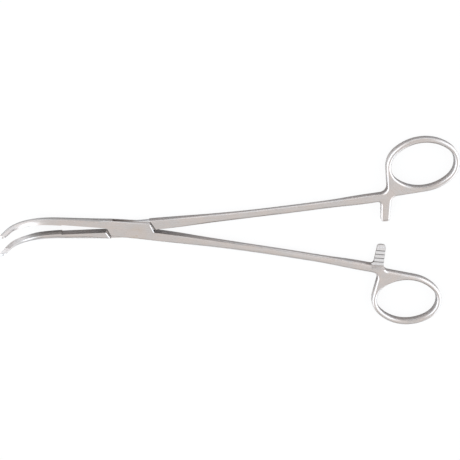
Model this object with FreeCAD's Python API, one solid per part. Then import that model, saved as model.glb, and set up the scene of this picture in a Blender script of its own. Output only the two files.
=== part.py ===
import FreeCAD, Part
import math
import os

# Cystic duct forceps: two crossed steel halves joined by a box lock, with finger rings, a ratchet
# and slender jaws that curve up out of the plane of the rings. All sizes are millimetres.
# The frame has its origin on the pivot axis, in the plane the forceps lie on, with the rings
# towards +X, the jaws towards -X and the jaw tips curving up towards +Z.

# Whole instrument
body_thickness = 5.0
rest_opening = 7.4
mid_height = body_thickness / 2

# Box lock
box_half_width = 4.1
box_corner = 0.9
box_end = 13.0
box_end_half_width = 4.65
box_flare_power = 1.3
shoulder_reach = 10.2
shoulder_slant = 30.0
shoulder_clearance = 0.15
window_half_length = 8.9
window_clearance = 0.15
slot_height = 2.0
tongue_clearance = 0.05
pin_radius = 1.6
pin_clearance = 0.03

# Jaws, measured along their centre line from the pivot
jaw_straight = 33.5
jaw_easy_radius = 50.0
jaw_easy_turn = 9.0
jaw_tight_radius = 20.3
jaw_end_angle = 73.0
jaw_tip_run = 7.9
jaw_root = 20.0
jaw_root_half_width = 3.75
jaw_tip_half_width = 1.4
jaw_root_height = 4.95
jaw_tip_height = 3.0
jaw_taper_power = 1.2
jaw_taper_into_tip = 2.0
jaw_roundness = 0.92
jaw_nose_radius = 1.75
jaw_nose_bluntness = 0.4
jaw_closed_gap = 0.06
jaw_relief = 0.35

# Serrations on the meeting faces
groove_pitch = 0.66
groove_width = 0.46
groove_depth = 0.26
groove_rows = 3
notch_count = 5
notch_pitch = 1.1
notch_width = 0.62
notch_depth = 0.38
notch_margin = 0.9
groove_run_in = 0.8
groove_shift = 0.25
cutter_flare = 1.2

# Shanks, measured with the jaws closed
shank_root_angle = 2.9
shank_inner_gap = 0.1
shank_root_width = box_end_half_width - shank_inner_gap
shank_waist_width = 3.4
shank_waist_thickness = 4.3
shank_corner = 1.5
shank_root_corner = 0.2
joint_x = 115.0
joint_y = 10.5
joint_width = 3.9

# Shares of the shank's length at which its section changes
narrowing_start = -0.05
narrowing_stop = 0.52
thinning_stop = 0.45
outer_round_stop = 0.3
inner_round_stop = 0.25
plate_rise_start = 0.8
plate_spread_start = 0.84

# Finger rings
ring_from_joint = 28.3
ring_offset = 17.2
ring_x = joint_x + ring_from_joint
ring_y = joint_y + ring_offset
ring_half_length = 15.6
ring_half_width = 11.5
ring_end_radius = 9.2
ring_band = 2.45
ring_tilt = 2.6
ring_top_flat = 0.15
ring_corner = (ring_band - ring_top_flat) / 2
ring_neck_slope = 95.0
ring_heel_slope = 7.0
web_fillet = 3.5

# Ratchet
bar_from_joint = 10.85
bar_x = joint_x + bar_from_joint
bar_root_width = 5.3
bar_end_width = 4.4
bar_reach = 1.3
bar_end_fillet = 1.5
bar_front_fillet = 1.6
bar_back_fillet = 3.0
bar_gap = 0.2
bar_root_rise = 0.9
bar_root_line = joint_y + bar_root_rise
bar_root_ramp = 1.7
bar_cut_margin = 1.2
tooth_pitch = 2.08
tooth_count = 4
tooth_depth = 0.8
first_tooth = 3.0
tooth_land = 0.35

# Steps between the cross sections that the long forms are drawn through
box_step = 4.5
curve_step = 2.1
tip_step = 4.0
shank_step = 6.5

cut_margin = 2.0
far = 200.0
touching = 1e-6


def vector(x, y, z=0.0):
    return FreeCAD.Vector(x, y, z)


def unit(degrees):
    turn = math.radians(degrees)
    return vector(math.cos(turn), math.sin(turn))


def ease(value, start, stop):
    # Smooth step from 0 at start to 1 at stop.
    u = min(1.0, max(0.0, (value - start) / (stop - start)))
    return u * u * (3 - 2 * u)


def flat(corners):
    return Part.Face(Part.makePolygon(corners + corners[:1]))


def prism(points, bottom, top):
    return flat([vector(p.x, p.y, bottom) for p in points]).extrude(vector(0, 0, top - bottom))


def crossing(p, p_way, q, q_way):
    # Point where the line through p along p_way meets the line through q along q_way.
    cross = p_way.x * q_way.y - p_way.y * q_way.x
    gap = q - p
    return p + p_way * ((gap.x * q_way.y - gap.y * q_way.x) / cross)


# Every rounded edge is ground as four narrow flats, which follow a quarter circle.
round_steps = 4
round_turns = [90 * n / round_steps for n in range(round_steps + 1)]


def rounded_section(centre, across, up, low, high, height, low_corner, high_corner):
    # Closed wire of a rectangle with rounded corners, from low to high along across and
    # height tall along up; the corners at low and high have their own radius.
    corners = (
        (high, height / 2, high_corner, 0),
        (low, height / 2, low_corner, 90),
        (low, -height / 2, low_corner, 180),
        (high, -height / 2, high_corner, 270),
    )
    points = []
    for a, b, radius, start in corners:
        a_mid = a - radius if a == high else a + radius
        b_mid = b - radius if b > 0 else b + radius
        for turn in round_turns:
            way = unit(start + turn)
            points.append(centre + across * (a_mid + radius * way.x) + up * (b_mid + radius * way.y))
    return Part.makePolygon(points + points[:1])


# The centre line of the closed jaws: straight out of the box, an easy arc, a tight arc, a
# straight tip. It lies in the plane between the jaws.

easy_length = jaw_easy_radius * math.radians(jaw_easy_turn)
tight_length = jaw_tight_radius * math.radians(jaw_end_angle - jaw_easy_turn)
easy_start = jaw_straight
tight_start = easy_start + easy_length
tip_start = tight_start + tight_length
jaw_length = tip_start + jaw_tip_run


def jaw_point(distance, offset=0.0):
    # Point on the jaw's centre line at a distance from the pivot, moved by offset across the
    # line towards its outer side, with the angle of the line there.
    straight = min(distance, easy_start)
    x = -straight
    z = mid_height
    angle = 0.0
    if distance > easy_start:
        angle = min(jaw_easy_turn, math.degrees((distance - easy_start) / jaw_easy_radius))
        x -= jaw_easy_radius * math.sin(math.radians(angle))
        z += jaw_easy_radius * (1 - math.cos(math.radians(angle)))
    if distance > tight_start:
        turned = math.degrees((distance - tight_start) / jaw_tight_radius)
        angle = min(jaw_end_angle, jaw_easy_turn + turned)
        first = math.radians(jaw_easy_turn)
        last = math.radians(angle)
        x -= jaw_tight_radius * (math.sin(last) - math.sin(first))
        z += jaw_tight_radius * (math.cos(first) - math.cos(last))
    if distance > tip_start:
        last = math.radians(jaw_end_angle)
        x -= (distance - tip_start) * math.cos(last)
        z += (distance - tip_start) * math.sin(last)
    turn = math.radians(angle)
    up = vector(math.sin(turn), 0, math.cos(turn))
    along = vector(-math.cos(turn), 0, math.sin(turn))
    return vector(x, 0, z) + up * offset, along, up


def jaw_half_width(distance):
    if distance < 0:
        rise = box_end_half_width - box_half_width
        return box_half_width + rise * (-distance / box_end) ** box_flare_power
    if distance < jaw_root:
        return box_half_width + (jaw_root_half_width - box_half_width) * ease(distance, 0, jaw_root)
    u = (distance - jaw_root) / (jaw_length - jaw_root)
    spread = jaw_root_half_width - jaw_tip_half_width
    return jaw_tip_half_width + spread * (1 - u) ** jaw_taper_power


def jaw_height(distance):
    root = body_thickness + (jaw_root_height - body_thickness) * ease(distance, 0, jaw_root)
    taper_start = tight_start
    taper_stop = tip_start + jaw_taper_into_tip
    return root + (jaw_tip_height - root) * ease(distance, taper_start, taper_stop)


def jaw_section(distance):
    centre, along, up = jaw_point(distance)
    half = jaw_half_width(distance)
    height = jaw_height(distance)
    corner = jaw_roundness * min(half, height / 2)
    corner = box_corner + (corner - box_corner) * ease(distance, shoulder_reach, jaw_root)
    return rounded_section(centre, vector(0, 1, 0), up, -half, half, height, corner, corner)


def stations(*marks):
    # Distances that divide each stretch between two marks into equal steps of about its
    # given length, written as start, step, next start, step, and so on to the last mark.
    places = [marks[0]]
    for i in range(0, len(marks) - 2, 2):
        start, step, stop = marks[i:i + 3]
        count = max(1, round((stop - start) / step))
        places += [start + (stop - start) * (n + 1) / count for n in range(count)]
    return places


def closed_pair():
    # Outer form that the two closed halves share, from the end of the box to the jaw tips.
    places = stations(
        -box_end, box_step, easy_start, curve_step, tight_start, curve_step, tip_start, tip_step,
        jaw_length,
    )
    return Part.makeLoft([jaw_section(place) for place in places], True, True)


def nose():
    # Rounds the tips in both views: what lies outside two crossed cylinders is cut away.
    centre, along, up = jaw_point(jaw_length - jaw_nose_radius)
    side = vector(0, 1, 0)
    reach = 3 * jaw_root_height
    start = centre - side * reach - up * reach
    top = start + up * 2 * reach
    block = flat([start, top, top + along * reach, start + along * reach]).extrude(side * 2 * reach)
    across = Part.makeCylinder(jaw_nose_radius, 2 * reach, centre - side * reach, side)
    plan_radius = jaw_nose_radius + jaw_nose_bluntness
    plan_centre = centre - along * jaw_nose_bluntness - up * reach
    height = Part.makeCylinder(plan_radius, 2 * reach, plan_centre, up)
    return block.cut(across.common(height))


# Lines of the lock in plan, with the jaws closed.

shoulder_way = unit(shoulder_slant)
shoulder_line = unit(shoulder_slant + 90)
crotch = crossing(shoulder_way * -shoulder_reach, shoulder_line, vector(0, 0), vector(1, 0))
window_corner = vector(-window_half_length, box_half_width)
window_line = window_corner - crotch
window_line.normalize()
window_way = vector(-window_line.y, window_line.x)
lock_edge = box_half_width + cut_margin


def shoulder_point(side, reach, y):
    # Point at height y on the shoulder line on one side of the pivot (-1 jaws, 1 rings).
    return crossing(shoulder_way * (side * reach), shoulder_line, vector(0, y), vector(1, 0))


def window_point(side, clearance, y):
    # Point at height y on the end wall of the window, moved towards the pivot by clearance.
    start = (window_way * clearance - crotch) * side
    return crossing(start, window_line, vector(0, y), vector(1, 0))


def box_region():
    # Plan of everything that belongs to the half with the box: its jaw on +Y, its shank on -Y.
    gap = jaw_closed_gap / 2
    inner = -shank_inner_gap
    points = [
        vector(-far, gap),
        shoulder_point(-1, shoulder_reach, gap),
        shoulder_point(-1, shoulder_reach, -far),
        vector(far, -far),
        vector(far, inner),
        shoulder_point(1, shoulder_reach, inner),
        shoulder_point(1, shoulder_reach, far),
        vector(-far, far),
    ]
    return prism(points, -far, far)


def tenon_regions():
    # Plans of the full thickness parts of the other half: its jaw on -Y, its shank on +Y.
    gap = jaw_closed_gap / 2
    reach = shoulder_reach + shoulder_clearance
    jaw = [
        vector(-far, -gap),
        vector(-far, -far),
        shoulder_point(-1, reach, -far),
        shoulder_point(-1, reach, -gap),
    ]
    shank = [
        vector(far, shank_inner_gap),
        vector(far, far),
        shoulder_point(1, reach, far),
        shoulder_point(1, reach, shank_inner_gap),
    ]
    return prism(jaw, -far, far), prism(shank, -far, far)


def tongue_region():
    # The tongue passes through the slot from one shoulder to the other.
    reach = shoulder_reach + shoulder_clearance
    gap = jaw_closed_gap / 2
    points = [
        shoulder_point(-1, reach, -gap),
        window_point(-1, window_clearance, -gap),
        window_point(-1, window_clearance, lock_edge),
        shoulder_point(1, reach, lock_edge),
        shoulder_point(1, reach, shank_inner_gap),
        window_point(1, window_clearance, shank_inner_gap),
        window_point(1, window_clearance, -lock_edge),
        shoulder_point(-1, reach, -lock_edge),
    ]
    half = slot_height / 2 - tongue_clearance
    return prism(points, mid_height - half, mid_height + half)


def slot():
    points = [
        window_point(-1, 0, lock_edge),
        window_point(-1, 0, -lock_edge),
        window_point(1, 0, -lock_edge),
        window_point(1, 0, lock_edge),
    ]
    return prism(points, mid_height - slot_height / 2, mid_height + slot_height / 2)


# Serrations: long grooves that follow the curve of the jaw, and short notches across the tip.

def long_groove(offset, side):
    # V groove in the meeting face on one side (1 box half, -1 tenon half) of the closed plane.
    face = side * jaw_closed_gap / 2
    start = jaw_point(easy_start - groove_run_in, offset)[0]
    bend = jaw_point(easy_start, offset)[0]
    edges = [Part.LineSegment(start, bend).toShape()]
    for first, last in ((easy_start, tight_start), (tight_start, tip_start)):
        points = [jaw_point(first + (last - first) * u, offset)[0] for u in (0, 0.5, 1)]
        edges.append(Part.Arc(*points).toShape())
    tip = jaw_point(tip_start, offset)[0]
    end = jaw_point(jaw_length + groove_run_in, offset)[0]
    edges.append(Part.LineSegment(tip, end).toShape())
    open_half = groove_width / 2 * cutter_flare
    rise = groove_depth * (cutter_flare - 1)
    corners = [
        start + vector(0, side * groove_depth + face, 0),
        start + vector(0, face - side * rise, open_half),
        start + vector(0, face - side * rise, -open_half),
    ]
    pipe = Part.BRepOffsetAPI.MakePipeShell(Part.Wire(edges))
    pipe.setBiNormalMode(vector(0, 1, 0))
    pipe.add(Part.makePolygon(corners + corners[:1]))
    pipe.build()
    pipe.makeSolid()
    return pipe.shape()


def tip_notch(number, side):
    # V notch straight across the meeting face near the tip.
    face = side * jaw_closed_gap / 2
    place = jaw_length - notch_margin - (number + 0.5) * notch_pitch
    centre, along, up = jaw_point(place)
    start = centre - up * jaw_root_height
    rise = notch_depth * (cutter_flare - 1)
    open_half = notch_width / 2 * cutter_flare
    corners = [
        start + vector(0, side * notch_depth + face, 0),
        start + vector(0, face - side * rise, 0) + along * open_half,
        start + vector(0, face - side * rise, 0) - along * open_half,
    ]
    return flat(corners).extrude(up * 2 * jaw_root_height)


def dress_jaw(half, side):
    # Relieves the face near the box, then cuts the serrations and rounds the tip.
    relief_depth = jaw_closed_gap / 2 + jaw_relief
    left = -easy_start
    length = crotch.x - left
    low = 0 if side > 0 else -relief_depth
    relief = Part.makeBox(length, relief_depth, far, vector(left, low, -far / 2))
    tools = [relief, nose()]
    for row in range(-groove_rows, groove_rows + 1):
        tools.append(long_groove((row + groove_shift * side) * groove_pitch, side))
    for number in range(notch_count):
        tools.append(tip_notch(number, side))
    return half.cut(tools)


# Shank, ring and ratchet bar of one half, built for the half whose shank is on +Y.

shank_length = joint_x - box_end
shank_root_y = shank_inner_gap + shank_root_width / 2
shank_root_slope = math.tan(math.radians(shank_root_angle))
shank_bow = (joint_y - shank_root_y - shank_root_slope * shank_length) / shank_length ** 2


def shank_point(u):
    # Centre of the shank at share u of its length, with its direction.
    run = u * shank_length
    y = shank_root_y + shank_root_slope * run + shank_bow * run ** 2
    slope = shank_root_slope + 2 * shank_bow * run
    along = vector(1, slope)
    along.normalize()
    return vector(box_end + run, y, mid_height), along


def shank():
    sections = []
    for run in stations(0, shank_step, shank_length):
        u = run / shank_length
        centre, along = shank_point(u)
        if u == 0:
            along = vector(1, 0)
        across = vector(-along.y, along.x)
        narrowing = ease(u, narrowing_start, narrowing_stop)
        width = shank_root_width + (shank_waist_width - shank_root_width) * narrowing
        width += (joint_width - width) * ease(u, plate_spread_start, 1)
        thinning = ease(u, 0, thinning_stop)
        height = body_thickness + (shank_waist_thickness - body_thickness) * thinning
        height += (body_thickness - height) * ease(u, plate_rise_start, 1)
        outer = box_corner + (shank_corner - box_corner) * ease(u, 0, outer_round_stop)
        outer += (ring_corner - outer) * ease(u, plate_rise_start, 1)
        inner = shank_root_corner + (outer - shank_root_corner) * ease(u, 0, inner_round_stop)
        half = width / 2
        sections.append(
            rounded_section(centre, across, vector(0, 0, 1), -half, half, height, inner, outer)
        )
    return Part.makeLoft(sections, True, True)


# The ring is an oval of four arcs in plan: two tight ones at its ends, two wide ones between.

end_centre = ring_half_length - ring_end_radius
oval_squash = ring_half_length - ring_half_width
side_centre = oval_squash * (2 * end_centre - oval_squash) / (2 * (end_centre - oval_squash))
ring_side_radius = ring_half_width + side_centre
ring_corner_turn = math.degrees(math.atan2(side_centre, end_centre))


def ring_centre(turn):
    # Centre and radius of the arc that faces a direction, given from the ring's own length.
    tilt = unit(ring_tilt)
    side = vector(-tilt.y, tilt.x)
    middle = vector(ring_x, ring_y)
    if abs(math.sin(math.radians(turn))) > math.sin(math.radians(ring_corner_turn)):
        sign = math.copysign(1, math.sin(math.radians(turn)))
        return middle - side * sign * side_centre, ring_side_radius
    sign = math.copysign(1, math.cos(math.radians(turn)))
    return middle + tilt * sign * end_centre, ring_end_radius


def ring_arcs(first, last):
    # Arcs of the ring's inner oval between two directions, anticlockwise, each as its centre,
    # its radius and its first and last direction.
    corners = []
    for end in (0, 180, 360, 540):
        corners += [end - ring_corner_turn, end + ring_corner_turn]
    turns = [first] + [turn for turn in corners if first < turn < last] + [last]
    arcs = []
    for start, stop in zip(turns, turns[1:]):
        centre, radius = ring_centre((start + stop) / 2)
        arcs.append((centre, radius, start + ring_tilt, stop + ring_tilt))
    return arcs


def arc(centre, radius, first, last, z):
    points = [centre + unit(turn) * radius for turn in (first, (first + last) / 2, last)]
    return Part.Arc(*[vector(p.x, p.y, z) for p in points])


def oval(grow, z):
    arcs = ring_arcs(ring_corner_turn, 360 + ring_corner_turn)
    return Part.Wire([arc(c, radius + grow, a, b, z).toShape() for c, radius, a, b in arcs])


def ring_tangent(slope, side):
    # Point where a line at an angle touches the outside of the ring, on the side of that
    # line's left (1) or right (-1), and the direction that it faces there.
    turn = slope + 90 * side
    centre, radius = ring_centre(turn - ring_tilt)
    return centre + unit(turn) * (radius + ring_band), turn


def corner_arc(before, corner, after, radius):
    # Fillet in plan at a corner: its centre, radius, directions, and 1 where it is hollow.
    back = (before - corner).normalize()
    ahead = (after - corner).normalize()
    half = back.getAngle(ahead) / 2
    centre = corner + (back + ahead).normalize() * radius / math.sin(half)
    start = corner + back * radius / math.tan(half) - centre
    stop = corner + ahead * radius / math.tan(half) - centre
    first = math.degrees(math.atan2(start.y, start.x))
    swing = math.degrees(start.getAngle(stop))
    hollow = -1 if back.cross(ahead).z < 0 else 1
    return centre, radius, first, first - hollow * swing, hollow


def plate_arcs():
    # Arcs of the plate's outline in plan, anticlockwise from the inner side of the shank.
    joint, along = shank_point(1.0)
    across = vector(-along.y, along.x)
    outer = joint + across * joint_width / 2
    inner = joint - across * joint_width / 2
    neck, neck_turn = ring_tangent(ring_neck_slope, 1)
    heel, heel_turn = ring_tangent(ring_heel_slope, -1)
    front = vector(bar_x - bar_end_width / 2, -bar_reach)
    back = vector(bar_x + bar_end_width / 2, -bar_reach)
    root_y = crossing(inner, along, vector(bar_x, 0), vector(0, 1)).y
    front_way = vector(bar_x - bar_root_width / 2, root_y) - front
    back_way = vector(bar_x + bar_root_width / 2, root_y) - back
    neck_corner = crossing(neck, unit(ring_neck_slope), outer, along)
    front_corner = crossing(inner, along, front, front_way)
    back_corner = crossing(heel, unit(ring_heel_slope), back, back_way)
    arcs = [
        corner_arc(inner, front_corner, front, bar_front_fillet),
        corner_arc(front_corner, front, back, bar_end_fillet),
        corner_arc(front, back, back_corner, bar_end_fillet),
        corner_arc(back, back_corner, heel, bar_back_fillet),
    ]
    first = heel_turn - ring_tilt + 360
    last = neck_turn - ring_tilt + 360
    for centre, radius, start, stop in ring_arcs(first, last):
        arcs.append((centre, radius + ring_band, start, stop, -1))
    arcs.append(corner_arc(neck, neck_corner, outer, web_fillet))
    return arcs


def outline(inset, z):
    # Outline of the plate in plan, moved inwards by inset.
    joint, along = shank_point(1.0)
    across = vector(-along.y, along.x) * (joint_width / 2 - inset)
    start = joint - across
    start.z = z
    end = joint + across
    end.z = z
    edges = []
    place = start
    for centre, radius, first, last, hollow in plate_arcs():
        curve = arc(centre, radius + hollow * inset, first, last, z)
        if (curve.StartPoint - place).Length > touching:
            edges.append(Part.LineSegment(place, curve.StartPoint).toShape())
        edges.append(curve.toShape())
        place = curve.EndPoint
    edges.append(Part.LineSegment(place, end).toShape())
    edges.append(Part.LineSegment(end, start).toShape())
    return Part.Wire(edges)


def handle_plate():
    # Ring, web and ratchet bar as one plate, with its edges rounded on both faces.
    levels = []
    for turn in round_turns:
        way = unit(turn)
        levels.append((ring_corner * (1 - way.x), ring_corner * (1 - way.y)))
    heights = levels + [(body_thickness - z, inset) for z, inset in reversed(levels)]
    blank = Part.makeLoft([outline(inset, z) for z, inset in heights], True, True)
    hole = [(-body_thickness, ring_corner)] + heights + [(2 * body_thickness, ring_corner)]
    return blank.cut(Part.makeLoft([oval(inset, z) for z, inset in hole], True, True))


def ratchet_cut():
    # Half of the bar's thickness, from its end to a ramp at its root, and the teeth's gullets.
    face = mid_height + bar_gap / 2
    left = bar_x - bar_root_width / 2 - bar_cut_margin
    across = vector(bar_root_width + 2 * bar_cut_margin, 0, 0)
    low = -bar_reach - bar_root_width
    profile = [
        vector(left, low, -body_thickness),
        vector(left, low, face),
        vector(left, bar_root_line - bar_root_ramp, face),
        vector(left, bar_root_line, 0),
        vector(left, bar_root_line, -body_thickness),
    ]
    tools = [flat(profile).extrude(across)]
    for number in range(tooth_count):
        wall = first_tooth - bar_reach + number * tooth_pitch
        corners = [
            vector(left, wall, face - tooth_depth),
            vector(left, wall, face + tooth_depth),
            vector(left, wall + tooth_pitch - tooth_land, face),
            vector(left, wall + tooth_pitch - tooth_land, face - tooth_depth),
        ]
        tools.append(flat(corners).extrude(across))
    return tools


def handle():
    # Shank, ring and bar of the half whose shank is on +Y; its teeth face down.
    return shank().fuse(handle_plate().cut(ratchet_cut()))


def turned(shape, degrees, axis):
    copy = shape.copy()
    copy.rotate(vector(0, 0, mid_height), axis, degrees)
    return copy


def pin_hole(radius):
    return Part.makeCylinder(radius, 2 * far, vector(0, 0, -far))


def single(shape):
    clean = shape.removeSplitter()
    if len(clean.Solids) != 1:
        raise ValueError("expected one solid, found %d" % len(clean.Solids))
    return clean.Solids[0]


# Half with the box: jaw on +Y, two cheeks with the slot between them, shank on -Y.

def box_half():
    core = closed_pair().common(box_region())
    core = core.cut([slot(), pin_hole(pin_radius)])
    core = dress_jaw(core, 1)
    grip = turned(handle(), 180, vector(1, 0, 0))
    return turned(single(core.fuse(grip)), -rest_opening / 2, vector(0, 0, 1))


# Half with the tenon: jaw on -Y, a thin tongue through the slot, shank on +Y.

def tenon_half():
    pair = closed_pair()
    jaw_region, shank_region = tenon_regions()
    jaw = dress_jaw(pair.common(jaw_region), -1)
    tongue = pair.common(tongue_region()).cut(pin_hole(pin_radius + pin_clearance))
    half = jaw.fuse([tongue, pair.common(shank_region), handle()])
    return turned(single(half), rest_opening / 2, vector(0, 0, 1))


# Rivet that joins the halves, pressed into the cheeks and ground flush with them.

def joint_pin():
    return Part.makeCylinder(pin_radius, body_thickness)


os.makedirs("parts", exist_ok=True)
for name, make in (("box_half", box_half), ("tenon_half", tenon_half), ("joint_pin", joint_pin)):
    make().exportStep("parts/%s.step" % name)
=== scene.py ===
import math
import bmesh
import bpy
from mathutils import Matrix, Vector


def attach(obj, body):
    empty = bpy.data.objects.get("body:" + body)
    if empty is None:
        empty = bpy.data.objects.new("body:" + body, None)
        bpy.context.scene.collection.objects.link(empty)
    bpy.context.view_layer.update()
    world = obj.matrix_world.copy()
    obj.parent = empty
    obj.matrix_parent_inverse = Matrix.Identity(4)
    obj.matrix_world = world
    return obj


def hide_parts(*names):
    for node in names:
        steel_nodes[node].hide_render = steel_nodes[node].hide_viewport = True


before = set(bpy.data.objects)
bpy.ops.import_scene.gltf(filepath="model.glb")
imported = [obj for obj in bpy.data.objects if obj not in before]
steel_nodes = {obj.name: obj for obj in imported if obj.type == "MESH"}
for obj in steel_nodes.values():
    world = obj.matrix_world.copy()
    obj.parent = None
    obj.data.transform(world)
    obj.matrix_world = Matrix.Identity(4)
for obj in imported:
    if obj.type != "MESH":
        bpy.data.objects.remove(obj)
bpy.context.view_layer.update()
MM = 0.001

# The view
# The forceps lie on a table and are seen obliquely from above through a long lens, so the
# rings and the jaw tips, which rise towards the eye, keep nearly the same scale.
LENS_MM = 88.7
SENSOR_MM = 36.0
NEAREST = 0.02
FARTHEST = 20.0
EYE = Vector((8.28, 227.11, 512.12)) * MM
EYE_RIGHT = Vector((0.9973, 0.0436, 0.0602))
EYE_UP = Vector((-0.0152, 0.9130, -0.4077))

eye_back = EYE_RIGHT.cross(EYE_UP).normalized()
eye_right = EYE_UP.cross(eye_back).normalized()
eye_up = eye_back.cross(eye_right)
lens = bpy.data.cameras.new("viewpoint")
lens.lens = LENS_MM
lens.sensor_width = SENSOR_MM
lens.clip_start = NEAREST
lens.clip_end = FARTHEST
viewpoint = bpy.data.objects.new("viewpoint", lens)
bpy.context.scene.collection.objects.link(viewpoint)
turn = Matrix((eye_right, eye_up, eye_back)).transposed()
viewpoint.matrix_world = Matrix.Translation(EYE) @ turn.to_4x4()
bpy.context.scene.camera = viewpoint
bpy.context.scene.view_settings.view_transform = "Standard"


# The room
# A white table runs on under the whole picture, in a pale studio tent. Two bright, cool lamps
# stand beyond the jaws and beyond the rings. The tent's wall behind the instrument is dark low
# down, which draws the thin dark lines along the steel's far edges. Where the steel mirrors the
# table, painted shade darkens the table next to the instrument.
class Wire:
    """A value inside a material, written in sums as a number is."""

    def __init__(self, tree, socket=None):
        self.tree = tree
        self.socket = socket

    def node(self, kind, settings=None, sockets=None, out=0):
        """A new node, with its settings and the values or links of its sockets."""
        new = self.tree.nodes.new(kind)
        for name, value in (settings or {}).items():
            setattr(new, name, value)
        for key, value in (sockets or {}).items():
            if isinstance(value, Wire):
                self.tree.links.new(value.socket, new.inputs[key])
            else:
                new.inputs[key].default_value = value
        return Wire(self.tree, new.outputs[out] if new.outputs else None)

    def sum(self, operation, *values):
        return self.node("ShaderNodeMath", {"operation": operation}, dict(enumerate(values)))

    def __add__(self, other):
        return self.sum("ADD", self, other)

    def __radd__(self, other):
        return self.sum("ADD", other, self)

    def __sub__(self, other):
        return self.sum("SUBTRACT", self, other)

    def __rsub__(self, other):
        return self.sum("SUBTRACT", other, self)

    def __mul__(self, other):
        return self.sum("MULTIPLY", self, other)

    def __rmul__(self, other):
        return self.sum("MULTIPLY", other, self)

    def __abs__(self):
        return self.sum("ABSOLUTE", self)

    def between(self, low, high, step="SMOOTHSTEP"):
        """0 below low and 1 above high, with a soft step between them."""
        sockets = {0: self, 1: low, 2: high, 3: 0.0, 4: 1.0}
        return self.node("ShaderNodeMapRange", {"interpolation_type": step}, sockets)

    def parts(self):
        """The three numbers of a vector."""
        split = self.node("ShaderNodeSeparateXYZ", None, {0: self}).socket.node
        return [Wire(self.tree, output) for output in split.outputs]

    def tint(self, one, other):
        """The colour one where the value is 0, and other where it is 1."""
        settings = {"data_type": "RGBA"}
        return self.node("ShaderNodeMix", settings, {0: self, 6: one, 7: other}, out=2)


TENT_ROOF = 0.84
TENT_SIDE = 2.4
TENT_BACK = 0.12
ROOF_HUE = (1.0, 0.99, 0.985, 1.0)
LAMP_HUE = (0.88, 0.96, 1.04, 1.0)
LAMPS_BEYOND = (0.40, 0.66)
DARK_BELOW = (0.18, 0.50)
DARK_BEHIND = (-0.45, -0.10)

tent = bpy.data.worlds.new("tent")
bpy.context.scene.world = tent
tent.use_nodes = True
tent.node_tree.nodes.clear()
room = Wire(tent.node_tree)
east, north, above = room.node("ShaderNodeTexCoord", out="Generated").parts()
side_lamps = abs(east).between(*LAMPS_BEYOND)
behind = (1 - above.between(*DARK_BELOW)) * (1 - north.between(*DARK_BEHIND))
behind = behind * (1 - side_lamps)
bright = TENT_ROOF + (TENT_SIDE - TENT_ROOF) * side_lamps
level = bright * (1 - behind) + TENT_BACK * behind
hue = side_lamps.tint(ROOF_HUE, LAMP_HUE)
tent_light = room.node("ShaderNodeBackground", None, {"Color": hue, "Strength": level})
room.node("ShaderNodeOutputWorld", None, {"Surface": tent_light})

TABLE_HALF = 6.0
TABLE_TOP = -0.05 * MM
TABLE_WHITE = (0.90, 0.90, 0.90, 1.0)
TABLE_SHADE = (0.35, 0.34, 0.34, 1.0)
SHADE_REACH = 12.0 * MM
EDGE_REACH = 4.0 * MM
SHADE_RAYS = 8
LOOK_UP = 0.05
FILLED = (0.12, 0.36)
BACKDROP_WHITE = (1.0, 1.0, 1.0, 1.0)
SEEN_WHITE = 0.90
MIRRORED_WHITE = 0.04

sheet = bmesh.new()
bmesh.ops.create_grid(sheet, x_segments=1, y_segments=1, size=TABLE_HALF)
bmesh.ops.translate(sheet, verts=sheet.verts, vec=(0, 0, TABLE_TOP))
table_mesh = bpy.data.meshes.new("table")
sheet.to_mesh(table_mesh)
sheet.free()
table = bpy.data.objects.new("table", table_mesh)
bpy.context.scene.collection.objects.link(table)
white_top = bpy.data.materials.new("white_table")
white_top.use_nodes = True
white_top.node_tree.nodes.clear()
top = Wire(white_top.node_tree)
straight = top.node("ShaderNodeLightPath", out="Is Camera Ray")
mirrored = top.node("ShaderNodeLightPath", out="Is Glossy Ray")
through = top.node("ShaderNodeLightPath", out="Is Transmission Ray")


def blocked(north, reach):
    """How far steel fills what a point of the table sees, looking level to one side."""
    lean = top.node("ShaderNodeCombineXYZ", None, {"X": 0.0, "Y": north, "Z": LOOK_UP})
    shade = top.node("ShaderNodeAmbientOcclusion", {"samples": SHADE_RAYS},
                     {"Distance": reach, "Normal": lean}, out="AO")
    return (1 - shade).between(*FILLED)


# Painted shade: in the steel's reflections the table is painted darker where steel hems it in,
# looking north within SHADE_REACH and south within EDGE_REACH.
painted_table_shade = blocked(1.0, SHADE_REACH)
painted_table_shade = mirrored * top.sum("MAXIMUM", painted_table_shade, blocked(-1.0, EDGE_REACH))
white = painted_table_shade.tint(TABLE_WHITE, TABLE_SHADE)
paint = top.node("ShaderNodeBsdfDiffuse", None, {"Color": white})
glow = top.node("ShaderNodeEmission", None, {"Color": BACKDROP_WHITE, "Strength": 1.0})
lift = straight * SEEN_WHITE + mirrored * MIRRORED_WHITE + through * MIRRORED_WHITE
mixed = top.node("ShaderNodeMixShader", None, {0: lift, 1: paint, 2: glow})
top.node("ShaderNodeOutputMaterial", None, {"Surface": mixed})
table_mesh.materials.append(white_top)


# Box half and tenon half
# Each is one forging of stainless steel with its jaw, shank, ratchet bar and finger ring, ground
# and brushed satin along its length. Painted shade darkens the curved meeting faces, the gullets,
# the seams, the slot's wall and a line along the back of each jaw; the meeting faces and gullets
# are also rougher. Painted highlight lightens the teeth, the tongue and the tenon half's tip. The
# box keeps a trace of the heat that it was closed with, and the lock's shoulders have broken
# edges.
def span(low, high):
    """The two ends of a soft step, given in millimetres."""
    return low * MM, high * MM


REST_TURN = math.radians(3.7)
THICKNESS = 5.0 * MM
STEEL_WARM = (0.665, 0.600, 0.565, 1.0)
STEEL_COOL = (0.615, 0.585, 0.570, 1.0)
STEEL_HEATED = (0.62, 0.47, 0.33, 1.0)
MEETING_SHADE = (0.26, 0.24, 0.225, 1.0)
PAINTED_SHADE = (0.14, 0.135, 0.13, 1.0)
PAINTED_HIGHLIGHT = (0.86, 0.87, 0.89, 1.0)

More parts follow.
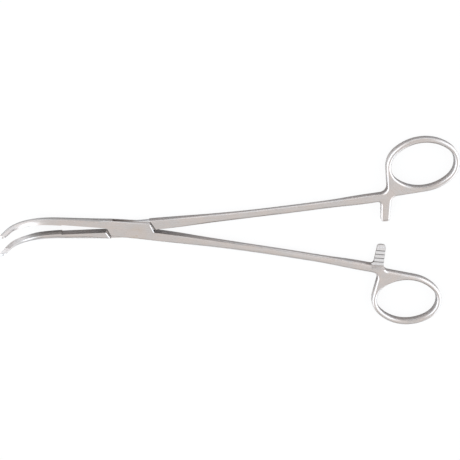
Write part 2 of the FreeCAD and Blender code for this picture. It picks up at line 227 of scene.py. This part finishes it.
# Brushing: strokes for each metre along, across and up, and the ring that they turn round
BRUSH_ALONG = 55
BRUSH_ACROSS = 2600
BRUSH_UP = 1200
BRUSH_RELIEF = 0.03 * MM
BRUSH_STRENGTH = 0.12
RING_AT = (143.3 * MM, 27.7 * MM)
RING_EDGE = span(20.0, 23.0)
STRAIGHT_JAW = span(-33.9, -12.0)
CLOUD_SCALE = 160.0
MOTTLE = (0.38, 0.62)
STROKES = (0.3, 0.7)
ROUGH_LEAST = 0.25
ROUGH_STROKES = 0.13
ROUGH_SKIN = 0.12

# Heat tint on the box, and painted shade on the curved part of the jaws' meeting faces
HEAT_AT = (3.0 * MM, 2.4 * MM, 0.0)
HEAT_REACH = 6.5 * MM
HEAT_PATCHES = (0.40, 0.60)
HEAT_SHARE = 0.6
FACING = (0.30, 0.60)
MEETING_FACE = span(-0.7, -0.6)
MEETING_START = span(-33.9, -32.9)
MEETING_END = span(-56.0, -44.0)
MEETING_SHADE_SHARE = 0.75

# Ratchet bar, between its two sides and its root, with the height that its teeth stand over.
# The teeth carry a painted highlight and their gullets painted shade
BAR_FRONT = span(122.05, 122.25)
BAR_BACK = span(129.45, 129.65)
BAR_ROOT = span(9.7, 9.9)
TOOTH_FACE = 2.6 * MM
TOOTH_SIDES = span(-2.2, -0.9)
GULLET_FLOOR = span(0.40, 0.60)
HIGHLIGHT_SHARE = 0.6

# Shoulders of the lock, on the side that faces up, and the seams along them, painted with shade
FACING_UP = (0.7, 0.9)
SHOULDER_NORMAL = (0.8660, 0.5000)
BOX_SHOULDER = 10.2 * MM
JAW_SHOULDER = -10.35 * MM
SHOULDER_SIDE = span(-0.15, -0.05)
BROKEN_EDGE = 0.45 * MM
SEAM_NEAR = span(-0.10, -0.05)
SEAM_FAR = span(0.50, 0.60)
SEAM_SIDE = span(0.0, 0.1)

# Painted shade as a dark line along the back of each jaw, and a painted highlight on the paler
# top of the tenon half's tip
BACK_FACING = (0.80, 0.97)
OFF_EDGE = (0.02, 0.08)
BACK_SIDE = (0.10, 0.30)
JAW_ROOT = span(-16.0, -12.0)
JAW_TIP = span(-57.0, -45.0)
BACK_SHADE_SHARE = 0.55
BACK_SHADE_TIP = 0.40
TIP_SHARE = 0.45

# Painted highlight on the tongue where it comes out of the slot, and painted shade on the slot's
# wall beside the jaw
TONGUE_IN = span(0.0, 4.0)
TONGUE_OUT = span(9.3, 9.8)
TONGUE_SIDE = span(1.5, 2.5)
SLOT_IN = span(-10.5, -10.0)
SLOT_OUT = span(-5.0, 3.0)
SLOT_FACING = (0.2, 0.5)
SLOT_SHARE = 0.85


def satin_steel(name, side, shoulder):
    """Brushed steel of one half: side is 1 for the tenon half and -1 for the box half."""
    material = bpy.data.materials.new(name)
    material.use_nodes = True
    material.node_tree.nodes.clear()
    steel = Wire(material.node_tree)

    # Laid back into the closed instrument, the box half turned over, both halves have the jaw
    # and its back to the south, the meeting face to the north and the teeth facing down.
    rise = (0.0, 0.0, THICKNESS if side < 0 else 0.0)
    laid_back = {"Rotation": (0.0, 0.0, -REST_TURN), "Scale": (1.0, side, side)}
    lying = steel.node("ShaderNodeTexCoord", out="Object")
    outward = steel.node("ShaderNodeTexCoord", out="Normal")
    closed = steel.node("ShaderNodeMapping", {"vector_type": "POINT"},
                        {"Vector": lying, "Location": rise, **laid_back})
    facing = steel.node("ShaderNodeMapping", {"vector_type": "VECTOR"},
                        {"Vector": outward, **laid_back})
    x, y, z = closed.parts()
    facing_x, facing_y, facing_z = facing.parts()

    from_ring = steel.node("ShaderNodeCombineXYZ", None,
                           {"X": x - RING_AT[0], "Y": y - RING_AT[1]})
    round_ring = steel.node("ShaderNodeVectorMath", {"operation": "LENGTH"},
                            {0: from_ring}, out="Value")
    on_ring = 1 - round_ring.between(*RING_EDGE)
    across = y + (round_ring - y) * on_ring
    upright = z * x.between(*STRAIGHT_JAW)
    brushed_at = steel.node("ShaderNodeCombineXYZ", None, {
        "X": x * BRUSH_ALONG,
        "Y": across * BRUSH_ACROSS,
        "Z": upright * BRUSH_UP,
    })
    brushed = steel.node("ShaderNodeTexNoise", None, {
        "Vector": brushed_at,
        "Scale": 1.0,
        "Detail": 4.0,
        "Roughness": 0.6,
    })
    cloud = steel.node("ShaderNodeTexNoise", None, {
        "Vector": closed,
        "Scale": CLOUD_SCALE,
        "Detail": 3.0,
        "Roughness": 0.6,
    })
    shade = (0.5 * cloud + 0.5 * brushed).between(*MOTTLE)

    from_heat = steel.node("ShaderNodeVectorMath", {"operation": "DISTANCE"},
                           {0: closed, 1: HEAT_AT}, out="Value")
    heated = (1 - from_heat.between(0.0, HEAT_REACH)) * cloud.between(*HEAT_PATCHES) * HEAT_SHARE
    # Painted shade on the curved part of the meeting faces, which are also rougher
    meeting = facing_y.between(*FACING) * y.between(*MEETING_FACE)
    meeting = meeting * (1 - x.between(*MEETING_START)) * x.between(*MEETING_END)

    on_bar = x.between(*BAR_FRONT) * (1 - x.between(*BAR_BACK)) * (1 - y.between(*BAR_ROOT))
    in_teeth = z - TOOTH_FACE
    # Painted highlight on the faces of the ratchet teeth
    highlit_teeth = on_bar * (0 - facing_z).between(*FACING) * in_teeth.between(*TOOTH_SIDES)
    # Painted shade in the gullets between the teeth
    gullet = highlit_teeth * in_teeth.between(*GULLET_FLOOR)

    on_top = (facing_z * side).between(*FACING_UP)
    along = x * SHOULDER_NORMAL[0] + y * (SHOULDER_NORMAL[1] * side)
    from_shoulder = (shoulder - along).between(0.0, BROKEN_EDGE, "LINEAR")
    broken = on_top * (1 - y.between(*SHOULDER_SIDE)) * (from_shoulder - 1) * BROKEN_EDGE
    # Painted shade in a strip along the seam beside the shoulder
    from_seam = along + shoulder
    seam = from_seam.between(*SEAM_NEAR) * (1 - from_seam.between(*SEAM_FAR))
    seam = seam * on_top * y.between(*SEAM_SIDE)

    backward = facing_x * side - facing_y
    rounded = abs(facing_z).between(*OFF_EDGE) * (0 - facing_y).between(*BACK_SIDE)
    on_jaw = 1 - x.between(*JAW_ROOT)
    on_tip = 1 - x.between(*JAW_TIP)
    # Painted shade: a dark line on the rounded back edge of each jaw
    back_edge_shade = backward.between(*BACK_FACING) * rounded * on_jaw
    back_edge_shade = back_edge_shade * (BACK_SHADE_SHARE - side * BACK_SHADE_TIP * on_tip)

    colour = shade.tint(STEEL_WARM, STEEL_COOL)
    # Painted highlight on the top of the tenon half's tip
    colour = (on_top * on_tip * (TIP_SHARE + side * TIP_SHARE)).tint(colour, PAINTED_HIGHLIGHT)
    colour = back_edge_shade.tint(colour, PAINTED_SHADE)
    colour = heated.tint(colour, STEEL_HEATED)
    colour = (meeting * MEETING_SHADE_SHARE).tint(colour, MEETING_SHADE)
    colour = (highlit_teeth * HIGHLIGHT_SHARE).tint(colour, PAINTED_HIGHLIGHT)
    colour = gullet.sum("MAXIMUM", gullet, seam).tint(colour, PAINTED_SHADE)
    if side > 0:
        # Painted highlight on the tongue, which lies in the cheek's shade
        tongue = x.between(*TONGUE_IN) * (1 - x.between(*TONGUE_OUT))
        tongue = tongue * y.between(*TONGUE_SIDE)
        # Painted shade on the slot's wall beside the jaw
        in_slot = x.between(*SLOT_IN) * (1 - x.between(*SLOT_OUT))
        in_slot = in_slot * facing_y.between(*SLOT_FACING)
        colour = (tongue * HIGHLIGHT_SHARE).tint(colour, PAINTED_HIGHLIGHT)
        colour = (in_slot * SLOT_SHARE).tint(colour, PAINTED_SHADE)
    rough = ROUGH_LEAST + ROUGH_STROKES * brushed.between(*STROKES)
    rough = rough + ROUGH_SKIN * (meeting + gullet)
    edge = steel.node("ShaderNodeBump", None, {
        "Strength": 1.0,
        "Distance": 1.0,
        "Height": broken,
    })
    bump = steel.node("ShaderNodeBump", None, {
        "Strength": BRUSH_STRENGTH,
        "Distance": BRUSH_RELIEF,
        "Height": brushed,
        "Normal": edge,
    })
    surface = steel.node("ShaderNodeBsdfPrincipled", None, {
        "Base Color": colour,
        "Metallic": 1.0,
        "Roughness": rough,
        "Normal": bump,
    })
    steel.node("ShaderNodeOutputMaterial", None, {"Surface": surface})
    return material


CREASE = math.radians(32)
COPLANAR = math.radians(0.2)
TOUCHING = 0.0005 * MM
LARGEST_FACES_FIRST = 100


def ground_copy(name, body, side, shoulder):
    """A half's own solid, merged, with its rounds smooth and its edges kept."""
    form = bmesh.new()
    form.from_mesh(steel_nodes[name].data)
    bmesh.ops.remove_doubles(form, verts=form.verts, dist=TOUCHING)
    bmesh.ops.dissolve_limit(form, angle_limit=COPLANAR, verts=form.verts, edges=form.edges)
    bmesh.ops.triangulate(form, faces=form.faces)
    for edge in form.edges:
        edge.smooth = len(edge.link_faces) == 2 and edge.calc_face_angle(0.0) < CREASE
    for face in form.faces:
        face.smooth = True
    mesh = bpy.data.meshes.new(name + "_ground")
    form.to_mesh(mesh)
    form.free()
    mesh.attributes.remove(mesh.attributes["custom_normal"])
    piece = bpy.data.objects.new(name + "_ground", mesh)
    bpy.context.scene.collection.objects.link(piece)
    rounds = piece.modifiers.new("rounds", "WEIGHTED_NORMAL")
    rounds.keep_sharp = True
    rounds.weight = LARGEST_FACES_FIRST
    mesh.materials.append(satin_steel(name + "_steel", side, shoulder))
    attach(piece, body)
    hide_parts(name)
    return piece


box_piece = ground_copy("box_half", "box_side", -1, BOX_SHOULDER)
ground_copy("tenon_half", "tenon_side", 1, JAW_SHOULDER)


# Joint pin
# A steel rivet pressed through both cheeks of the box and the tongue between them, and ground
# flush, so that only its outline could be felt. It takes the finish of the half that it is in.
steel_nodes["joint_pin"].material_slots[0].material = box_piece.data.materials[0]
